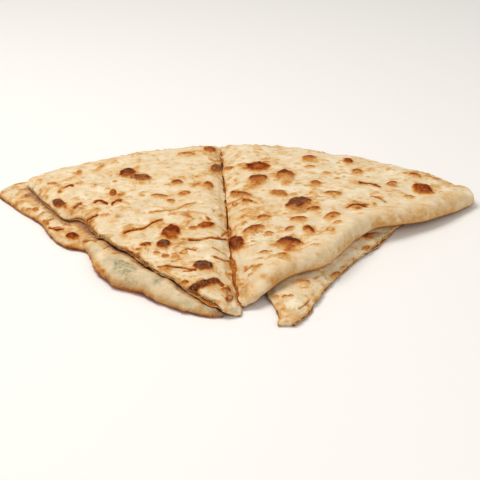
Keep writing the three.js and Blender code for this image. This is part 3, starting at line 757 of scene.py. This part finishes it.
# ---- Marks of the hot plate
HALO = 0.22  # toast around a blister, for the toast on it
BLISTER_RISE = 0.25  # a blister's height, for half its width
HIGHEST_BLISTER = 1.9
CREASE_DEPTH, CREASE_TOAST = 0.4, 1.25
TOWARDS_EYE = np.array([0.0, -0.7, -0.7])  # down, for a blister in a random place
DEEPEST_HOLLOW = -0.7  # so that a sheet stays closed
THICK_FOLD = (5.5, 8)  # a fold of the first height touches the hot plate, and one of the second doesn't
PLATE_GAP = (7, 22)  # and it comes down to the plate this far in from its side
SPECKS, SPECK_HALVES = 520, (0.9, 2.8)  # small blisters on top, and half their widths
UNDER_BLISTERS, UNDER_HALVES, UNDER_BROWNS = 150, (1.8, 8.5), (0.35, 0.85)
SPECK_SEED = 900


class Marks:
    """What the hot plate did at each point: how toasted and how charred it is, with shade painted on the back
    of a blister, and how far it puffed up, in millimetres."""

    def __init__(self, count):
        self.toast_and_shade, self.char, self.lift = np.zeros((3, count))

    def blister(self, near, down, r, half, brown, burnt, kind):
        """One puffed spot. r is 1 at its outline, and down goes from -1 to 1 towards the eye."""
        soft = smooth(-0.3, 0.8, down)  # the lower edge fades
        body = 1 - smooth(0.76 - 0.26 * soft, 1.08 + 0.12 * soft, r)
        # Browner at the back than the front, for a bowl, a brow and a blot: painted shade over the browning.
        if kind == "bowl":
            colour = body * lerp(0.36, 1, smooth(0.4, -0.55, down))
        elif kind == "brow":
            colour = body * lerp(0.15, 1, smooth(0.1, -0.55, down))
        elif kind == "ring":
            colour = body * lerp(0.3, 1, smooth(0.25, 0.75, r))
        elif kind == "blot":
            colour = body * lerp(0.78, 1, smooth(0.35, 0.85, r)) * lerp(1, 0.7, smooth(-0.2, 0.8, down))
        else:
            colour = 0.8 * (1 - smooth(0.2, 1.2, r))
        halo = HALO * brown * (1 - smooth(0.6, 2.1, r)) ** 2
        self.toast_and_shade[near] = np.maximum(self.toast_and_shade[near], np.maximum(brown * colour, halo))
        self.char[near] = np.maximum(self.char[near], burnt * body * np.minimum(1, 1.1 * colour))
        if kind != "stain":
            height = min(HIGHEST_BLISTER, BLISTER_RISE * half)
            dome = np.maximum(0, 1 - r * r) ** 0.75 * (1 - 0.32 * down)
            self.lift[near] = np.maximum(self.lift[near], height * dome)


def photo_marks(name, points, facing):
    """The blisters and creases that the photograph shows on the side that faces the camera."""
    marks = Marks(len(points))
    x, y = in_photo(points)
    ragged, fine = noise(points, 5, 401, 3), noise(points, 2.2, 431, 2)
    spots = [(kind, *spot, 0, 0) for (where, kind), alike in SPOTS.items() for spot in alike if where == name]
    for kind, spot_x, spot_y, w, h, brown, tilt, burnt, *_ in spots:
        near = (np.abs(x - spot_x) < 1.3 * w + 4) & (np.abs(y - spot_y) < 1.5 * h + 5) & facing
        across, down = turned(x[near] - spot_x, y[near] - spot_y, -math.radians(tilt), w / 2, h / 2)
        r = np.hypot(across, down) * (1 + (0.17 * ragged[near] + 0.08 * fine[near]) * min(1, w / 16))
        half = math.sqrt(w * h / FORESHORTENED) / 2 * PIXEL  # half its real width
        marks.blister(near, down, r, half, brown / 100, burnt / 100, kind)
    for line, brown in CREASES[name]:
        away = distance_to_line(x, y, line) * (1 + 0.25 * ragged)
        on = (1 - smooth(0.1, 1.5, away)) * facing
        halo = HALO * brown * (1 - smooth(0.5, 4, away)) * facing
        marks.toast_and_shade = np.maximum.reduce([marks.toast_and_shade, CREASE_TOAST * brown * on, halo])
        marks.lift = marks.lift - CREASE_DEPTH * on
    return marks


def turned(dx, dy, turn, half_width, half_height):
    """Offsets from the middle of a turned ellipse, along its axes, so that its outline is at 1."""
    across = (dx * math.cos(turn) + dy * math.sin(turn)) / half_width
    down = (dy * math.cos(turn) - dx * math.sin(turn)) / half_height
    return across, down


def distance_to_line(x, y, line):
    """How far points are from a line through given points."""
    nearest = np.full(np.shape(x), FAR)
    for (ax, ay), (bx, by) in zip(line, line[1:]):
        dx, dy = bx - ax, by - ay
        t = np.clip(((x - ax) * dx + (y - ay) * dy) / (dx * dx + dy * dy), 0, 1)
        nearest = np.minimum(nearest, np.hypot(x - ax - t * dx, y - ay - t * dy))
    return nearest


def scattered_marks(points, normals, areas, where, count, sizes, browns, seed):
    """Blisters in random places: the small ones, and all that the photograph hides."""
    marks = Marks(len(points))
    random = np.random.default_rng(seed)
    ragged = noise(points, 5, seed + 3, 3)
    order = np.flatnonzero(where)[np.argsort(points[where, 0])]
    chance = areas[order] / areas[order].sum()
    for centre in random.choice(order, count, p=chance):
        half = sizes[0] * (sizes[1] / sizes[0]) ** random.uniform(0, 1)
        ratio, turn = random.uniform(0.4, 0.95), random.normal(0, 0.5)
        brown, burnt = random.uniform(*browns), max(0, random.uniform(-1.4, 0.8)) * (half > 3)
        kind = random.choice(["bowl", "blot", "brow"])
        reach = 2.2 * half
        first, last = np.searchsorted(points[order, 0], points[centre, 0] + reach * np.array([-1, 1]))
        near = order[first:last]
        near = near[np.abs(points[near] - points[centre]).max(1) < reach]
        # Two directions in the surface there: down towards the eye, and across.
        normal = normals[centre]
        downwards = TOWARDS_EYE - normal * (normal @ TOWARDS_EYE)
        downwards /= np.linalg.norm(downwards)
        offset = points[near] - points[centre]
        dx, dy = offset @ np.cross(normal, downwards), offset @ downwards
        across, down = turned(dx, dy, turn, half, half * ratio)
        r = np.hypot(across, down) * (1 + 0.24 * ragged[near])
        marks.blister(near, down, r, half, brown, burnt, kind)
    return marks


def wrinkles(points):
    """Fine creases that run mostly across a wedge: 1 along their lines."""
    line = 1 - np.abs(noise(points, 5.5, 61, 2, (2.4, 1, 1.5))) / 0.13
    return np.clip(line, 0, 1) ** 1.5 * smooth(-0.2, 0.4, noise(points, 13, 67, 2))


class Surface:
    """What a wedge's dough is like at each point, apart from its blisters."""

    def __init__(self, name, points, parts, edges, normals):
        self.name, self.look, self.points, self.up = name, LOOKS[name], points, normals[:, 2]
        self.top, self.under, self.pocket = parts == TOP, parts == UNDER, parts == POCKET
        self.facing = self.top & (((CAMERA_AT - points) * normals).sum(1) > 0)
        self.from_cut, self.from_fold, from_tip = edges.T
        wedge = WEDGE[name]
        thick = smooth(*THICK_FOLD, wedge.roll_height(np.minimum(1, from_tip / wedge.length)))
        self.baked = 1 - thick * (1 - smooth(*PLATE_GAP, self.from_fold))
        self.bumps, self.small = noise(points, 9, 17, 3), noise(points, 3.2, 29, 2, (1.6, 1, 1))
        self.lumps = 0.7 * noise(points, 22, 37, 2) + self.look["lumps"] * noise(points, 6, 41, 2)
        # The hollows between a fold's lumps, painted darker as shade.
        self.hollow_shade = smooth(0.1, -0.7, self.lumps)
        self.crease = wrinkles(points)
        # Painted shade: a lower wedge is browned and greyed next to an upper wedge's edge.
        self.shade_beside = np.full(len(points), FAR)  # how far it is from an upper wedge
        if self.look["shade_beside"]:
            for upper in ("upper_left", "upper_right"):
                away = distance_to_line(points[:, 0], points[:, 1], WEDGE[upper].outline())
                self.shade_beside = np.minimum(self.shade_beside, away)

    def relief(self):
        """How far the sheet swells: its broad waves, bumps and wrinkles, or the lumps of a fold."""
        flat = 0.4 * noise(self.points, 30, 7) + 0.38 * self.bumps + 0.28 * self.small - 0.42 * self.crease
        fold = np.maximum(-0.1, 0.3 + self.lumps)
        relief = np.maximum(DEEPEST_HOLLOW, flat * self.baked + (1 - self.baked) * fold)
        lying = lerp(0.25, 1, smooth(-0.75, -0.1, self.up))  # what lies on something is flatter
        return relief * np.where(self.top, 1.0, np.where(self.under, lying, 0.0))

    def toast_and_shade(self):
        """Cut edges are a little more golden than the floury top. Painted shade is added as more toast along
        a cut on the underside, down a fold's side and in its hollows, in the wrinkles, next to an upper
        wedge, and over the inside, which is painted brown.
        """
        light = 0.12 * smooth(0.2, 0.9, self.bumps) + 0.13 * smooth(0.1, 0.8, self.small)
        light = light + 0.09 * smooth(0, 0.6, noise(self.points, 13, 73, 3))
        # Light patches are toasted; wrinkles are browner, as browning and as painted shade in the creases.
        flat = self.baked * self.look["patches"] * (light + 0.17 * self.crease)
        # A fold's top is toasted; its hollows are browner as painted shade.
        fold = (1 - self.baked) * self.look["fold"] * (0.04 + 0.5 * light + 0.1 * self.hollow_shade)
        # Painted shade next to an upper wedge, uneven in strength.
        shade_beside = self.look["shade_beside"] * (1 - smooth(0.4, 3.5, self.shade_beside))
        shade_beside = shade_beside * (1 + 0.6 * noise(self.points, 8, 97))
        # Cut edges are a little golden; the underside along a cut is much browner: painted shade under the
        # lip.
        edge = (1 + 0.8 * noise(self.points, 6, 83)) * (1 - smooth(0.4, 2.2, self.from_cut))
        edge = edge * (0.11 + 0.44 * self.under)
        # Painted shade and warm painted bounce: what faces down is browner, most at a fold.
        near_fold = 1 - smooth(6, 16, self.from_fold)
        side = smooth(0.75, -0.35, self.up) * (1 + 0.5 * noise(self.points, 9, 89))
        side = side * lerp(USUAL_LOOK["side"], self.look["side"], near_fold)
        side = side + 0.16 * smooth(0.15, -0.5, self.up) * near_fold
        side = side * np.maximum(self.from_cut > 6, self.under)
        # The inside of the pocket is painted brown so the shade between the lips looks warm: painted shade.
        all_over = np.where(self.pocket, 0.5, edge + side + self.look["golden"])
        return self.top * (flat + fold + shade_beside) + all_over

    def greenish(self):
        """How grey-green the dough is: where herbs show through it, and where shade is painted on it along
        its wrinkles, in a fold's hollows, next to an upper wedge and over the lower left roll.
        """
        # The painted shade next to an upper wedge also greys the dough.
        shade_beside = self.look["shade_beside"] * (1 - smooth(1, 7, self.shade_beside))
        greenish = self.top * np.maximum(0.3 * self.crease * self.baked, shade_beside)
        x, y = in_photo(self.points)
        speckled = 1 + 0.25 * noise(self.points, 7, 91, 3)
        # Herbs show more in a fold's hollows: painted shade.
        shows = self.facing * (0.75 + 1.1 * self.hollow_shade)
        for spot_x, spot_y, w, h, amount in HERB_AND_SHADE_TINTS[self.name]:
            r = np.hypot((x - spot_x) * 2 / w, (y - spot_y) * 2 / h) * speckled
            greenish = np.maximum(greenish, amount * (1 - smooth(0.3, 1.2, r)) * shows)
        return greenish


def add_dough(name):
    """Makes a wedge's dough, and gives the points of its top."""
    points, parts, edges, faces = dough_mesh(WEDGE[name])
    normals, areas = normals_of(points, faces)
    surface = Surface(name, points, parts, edges, normals)
    shown = photo_marks(name, points, surface.facing)
    seed = SPECK_SEED + sum(map(ord, name))
    chance = areas * surface.baked
    specks = scattered_marks(points, normals, chance, surface.top, SPECKS, SPECK_HALVES,
                             LOOKS[name]["specks"], seed)
    below = scattered_marks(points, normals, chance, surface.under, UNDER_BLISTERS, UNDER_HALVES,
                            UNDER_BROWNS, seed + 1)
    toast_and_shade = np.maximum.reduce([shown.toast_and_shade, specks.toast_and_shade, below.toast_and_shade]) + surface.toast_and_shade()
    char = np.maximum.reduce([shown.char, specks.char, below.char])
    lift = np.maximum(shown.lift, specks.lift) + np.minimum(0, shown.lift)
    swell = surface.relief() + np.where(surface.top, lift, 0)
    # Both the toast and the grey-green tint carry painted shade as well as the dough's own colour.
    attributes = {"toast_and_shade": toast_and_shade, "char": char, "greenish": surface.greenish()}
    points = points + normals * swell[:, None]
    points[:, 2] = np.maximum(points[:, 2], 0)
    make_piece(f"{name}_bread", points, faces, f"slice_{name}_dough", "baked_dough", attributes)
    return points[surface.top]


# ---- Filling
FILLING_STEPS, FILLING_COLUMNS = 4, 26  # round its sides, and between them
FILLING_STEP = 0.05  # at least this much from its ends to its first and last rows
CRUMB = 2.6  # size of the crumbs that show at its sides
CRUMB_RISE, CRUMB_MIDDLE = 0.3, 0.12  # how far they stick out, more or less, and on average
STEEP = 0.6  # a normal with a level part of at least this is at a side


def add_filling(name):
    """Makes the layer of cheese and herbs that fills a wedge's pocket."""
    wedge, wall = WEDGE[name], SHEET + FILLING_GAP
    front_edge, rear_edge = wall, wedge.length - RIM_BAND - FILLING_GAP
    rows, _ = row_stations(wedge)
    inside = (rows > front_edge + FILLING_STEP) & (rows < rear_edge - FILLING_STEP)
    sheets = Sheets(wedge, np.concatenate([[front_edge], rows[inside], [rear_edge]]))

    edges = []
    for side in INWARD:
        inset, radius = FILLING_INSET, FILLING_ROUND
        if side == wedge.fold:
            inset, radius = wall, wedge.fold_radius(sheets.v) - wall
        edge = inset + radius * arc(FILLING_STEPS)
        edges.append(np.broadcast_to(edge, (len(sheets.front), FILLING_STEPS + 1)))
    at = spaced(*edges, sheets.full, FILLING_COLUMNS)
    swell = rounded(sheets.front - front_edge, TIP_ROUND) * rounded(rear_edge - sheets.front, RIM_ROUND)
    for side in wedge.cuts:
        swell = swell * rounded(sheets.from_side(at, side) - FILLING_INSET, FILLING_ROUND)
    top = sheets.shell(at, TOP_SEED, 1, wall, swell)
    under = sheets.shell(at, TOP_SEED, -1, wall, swell)

    patchwork = Patchwork()
    patchwork.add(top, TOP)
    patchwork.add(under, UNDER, flip=True)
    points, _, _, faces = patchwork.welded()
    normals, _ = normals_of(points, faces)
    steep = np.linalg.norm(normals[:, :2], axis=1) > STEEP
    points = points + normals * (steep * (CRUMB_RISE * noise(points, CRUMB, 131) + CRUMB_MIDDLE))[:, None]
    make_piece(f"{name}_cheese", points, faces, f"slice_{name}_filling", "cheese_herb_filling", {})


# ---- Materials
def srgb(*colour):
    """A colour as it is seen, from 0 to 255, as Blender's linear one."""
    c = np.array(colour) / 255
    return (*np.where(c <= 0.04045, c / 12.92, ((c + 0.055) / 1.055) ** 2.4), 1)


class Nodes:
    """Short ways to add nodes to a material."""

    def __init__(self, name):
        self.material = bpy.data.materials.new(name)
        self.material.use_nodes = True
        self.tree = self.material.node_tree
        self.shader = self.tree.nodes["Principled BSDF"]
        self.place = self.tree.nodes.new("ShaderNodeTexCoord").outputs["Object"]

    def new(self, kind, inputs=None, **settings):
        node = self.tree.nodes.new(kind)
        for key, value in settings.items():
            setattr(node, key, value)
        for key, value in (inputs or {}).items():
            self.set(node.inputs[key], value)
        return node

    def set(self, socket, value):
        if isinstance(value, bpy.types.NodeSocket):
            self.tree.links.new(value, socket)
        else:
            socket.default_value = value

    def times(self, a, b):
        return self.new("ShaderNodeMath", {0: a, 1: b}, operation="MULTIPLY", use_clamp=True).outputs[0]

    def noise(self, size, detail=2.0, roughness=0.5, distortion=0.0, stretch=None):
        """Noise from 0 to 1, its lumps about that many millimetres across."""
        place = self.place
        if stretch:
            place = self.new("ShaderNodeMapping", {"Vector": place, "Scale": stretch}).outputs[0]
        inputs = {"Vector": place, "Scale": 1 / (size * MM), "Detail": detail, "Roughness": roughness,
                  "Distortion": distortion}
        return self.new("ShaderNodeTexNoise", inputs).outputs["Fac"]

    def attribute(self, name):
        return self.new("ShaderNodeAttribute", attribute_name=name).outputs["Fac"]

    def spread(self, value, low, high, to_low=0.0, to_high=1.0):
        """The value, with its range from low to high mapped on another, and clamped."""
        inputs = {"Value": value, "From Min": low, "From Max": high, "To Min": to_low, "To Max": to_high}
        return self.new("ShaderNodeMapRange", inputs).outputs[0]

    def ramp(self, value, stops):
        """Colours, from 0 to 255, at places from 0 to 1."""
        node = self.new("ShaderNodeValToRGB", {0: value})
        elements = node.color_ramp.elements
        while len(elements) < len(stops):
            elements.new(0.5)
        for element, (position, colour) in zip(elements, stops):
            element.position, element.color = position, srgb(*colour)
        return node.outputs[0]

    def mix(self, factor, a, b):
        """A mix of two colours, each a socket or numbers from 0 to 255."""
        colours = [srgb(*colour) if isinstance(colour, tuple) else colour for colour in (a, b)]
        inputs = {0: factor, 6: colours[0], 7: colours[1]}
        return self.new("ShaderNodeMix", inputs, data_type="RGBA").outputs[2]

    def food(self, colour, roughness, normal, soft, radius, depth):
        """Sets the shader. soft is how much light goes into the food, radius how far for each colour, and
        depth the same for all of it, in millimetres."""
        values = {"Base Color": colour, "Roughness": roughness, "Normal": normal, "IOR": 1.45,
                  "Subsurface Weight": soft, "Subsurface Radius": radius, "Subsurface Scale": depth * MM}
        for key, value in values.items():
            self.set(self.shader.inputs[key], value)
        return self.material

    def bump(self, height, distance, normal=None):
        inputs = {"Height": height, "Distance": distance * MM, "Strength": 1.0}
        if normal is not None:
            inputs["Normal"] = normal
        return self.new("ShaderNodeBump", inputs).outputs[0]


def dough_material():
    n = Nodes("baked_dough")
    cream = n.ramp(n.noise(9, 4, 0.6), [
        (0.3, (208, 180, 136)), (0.5, (224, 202, 166)), (0.7, (238, 224, 196)),
    ])
    cream = n.mix(n.spread(n.noise(34), 0.4, 0.7, 0, 0.5), cream, (224, 206, 176))

    toast_and_shade = n.spread(n.noise(2.4, 4, 0.7), 0.3, 0.7, 0.58, 1.3)
    # The toast attribute also carries painted shade, which this ramp browns like toast.
    toast_and_shade = n.times(n.attribute("toast_and_shade"), toast_and_shade)
    char = n.times(n.attribute("char"), n.spread(n.noise(1.8, 3, 0.6), 0.35, 0.62, 0.45, 1.0))
    browned = n.ramp(toast_and_shade, [
        (0.0, (224, 202, 166)), (0.12, (216, 180, 128)), (0.26, (200, 146, 82)), (0.42, (178, 106, 44)),
        (0.6, (146, 66, 12)), (0.78, (110, 38, 2)), (1.0, (64, 22, 1)),
    ])
    colour = n.mix(n.spread(toast_and_shade, 0.0, 0.16), cream, browned)

    ash = n.ramp(n.noise(1.9, 3, 0.7), [(0.35, (50, 26, 8)), (0.55, (102, 68, 44)), (0.7, (172, 134, 108))])
    colour = n.mix(n.spread(char, 0.1, 1.0, 0, 0.85), colour, ash)
    # This grey-green stands for herbs under the dough, and for painted shade where it is laid on.
    grey = n.mix(n.spread(n.noise(2.2, 4, 0.7, 0.6), 0.45, 0.68), (186, 174, 142), (98, 102, 70))
    colour = n.mix(n.spread(n.attribute("greenish"), 0, 1, 0, 0.85), colour, grey)

    roughness = n.spread(toast_and_shade, 0.05, 0.7, 0.72, 0.55)
    fine = n.bump(n.noise(0.9, 3, 0.6), 0.14)
    coarse = n.bump(n.noise(2.8, 3, 0.55, stretch=(0.5, 1.2, 1.0)), 0.32, fine)
    n.shader.inputs["Specular IOR Level"].default_value = 0.05
    return n.food(colour, roughness, coarse, soft=0.25, radius=(1.0, 0.55, 0.3), depth=2.0)


def filling_material():
    n = Nodes("cheese_herb_filling")
    greenish = n.noise(3.2, 3, 0.6, 1.2)
    cheese = n.ramp(n.noise(1.6, 3, 0.6), [(0.3, (206, 160, 92)), (0.6, (230, 208, 160))])
    green = n.ramp(n.noise(1.1), [(0.3, (92, 80, 22)), (0.65, (148, 126, 50))])
    colour = n.mix(n.spread(greenish, 0.46, 0.56), cheese, green)
    colour = n.mix(n.spread(n.noise(5.5), 0.45, 0.62, 0, 0.8), colour, (168, 104, 44))
    roughness = n.spread(greenish, 0.4, 0.6, 0.4, 0.6)
    crumbs = n.bump(n.noise(1.2, 3, 0.6), 0.4)
    return n.food(colour, roughness, crumbs, soft=0.2, radius=(1.0, 0.8, 0.5), depth=1.5)


MATERIALS = {"baked_dough": dough_material(), "cheese_herb_filling": filling_material()}


# ---- The stack
SUPPORT_CELL = 2.5


def supports_under(points):
    """The highest point in each small square of the plan, which is what an upper wedge lies on."""
    cell = np.floor(points[:, :2] / SUPPORT_CELL).astype(int)
    order = np.lexsort((-points[:, 2], cell[:, 1], cell[:, 0]))
    _, highest = np.unique(cell[order], axis=0, return_index=True)
    return points[order][highest]


lower = [add_dough(name) for name in ("lower_left", "lower_right")]
support = supports_under(np.vstack(lower))
for name in ("upper_left", "upper_right"):
    WEDGE[name].supports = support
    add_dough(name)
for name in WEDGES:
    add_filling(name)


# ---- Floor, light and camera
def add_floor():
    mesh = bpy.data.meshes.new("floor")
    """A wide floor just under the bread."""
    half, level = 3.0, -0.2 * MM
    corners = [(-half, -half, level), (half, -half, level), (half, half, level), (-half, half, level)]
    mesh.from_pydata(corners, [], [(0, 1, 2, 3)])
    n = Nodes("floor")
    n.shader.inputs["Base Color"].default_value = srgb(240, 238, 235)
    n.shader.inputs["Roughness"].default_value = 0.8
    mesh.materials.append(n.material)
    floor = add_object("floor", mesh)


def add_light(name, place, target, size, power, colour):
    """A round lamp that shines at a target."""
    data = bpy.data.lights.new(name, "AREA")
    data.shape, data.size, data.energy, data.color = "DISK", size, power, colour
    light = add_object(name, data)
    light.location = place
    back = Vector(place) - Vector(target)
    light.rotation_euler = back.to_track_quat("Z", "Y").to_euler()


def add_world():
    world = bpy.data.worlds.new("studio")
    world.use_nodes = True
    background = world.node_tree.nodes["Background"]
    background.inputs["Color"].default_value = (1.0, 0.985, 0.96, 1)
    background.inputs["Strength"].default_value = 0.47
    bpy.context.scene.world = world


def add_camera():
    data = bpy.data.cameras.new("camera")
    data.lens, data.sensor_width = LENS, SENSOR
    camera = add_object("camera", data)
    camera.location = (CAMERA_AT + LAYOUT_SHIFT) * MM
    camera.rotation_euler = (math.pi / 2 - ELEVATION, 0, 0)
    bpy.context.scene.camera = camera


add_floor()
add_world()
add_light("key", (-0.45, 0.15, 1.1), (0, 0, 0), size=0.7, power=9.8, colour=(1, 0.97, 0.93))
add_light("fill", (0.3, -1.1, 0.8), (0, 0, 0), size=0.9, power=4.6, colour=(1, 0.98, 0.95))
add_camera()
bpy.context.scene.view_settings.view_transform = "Standard"
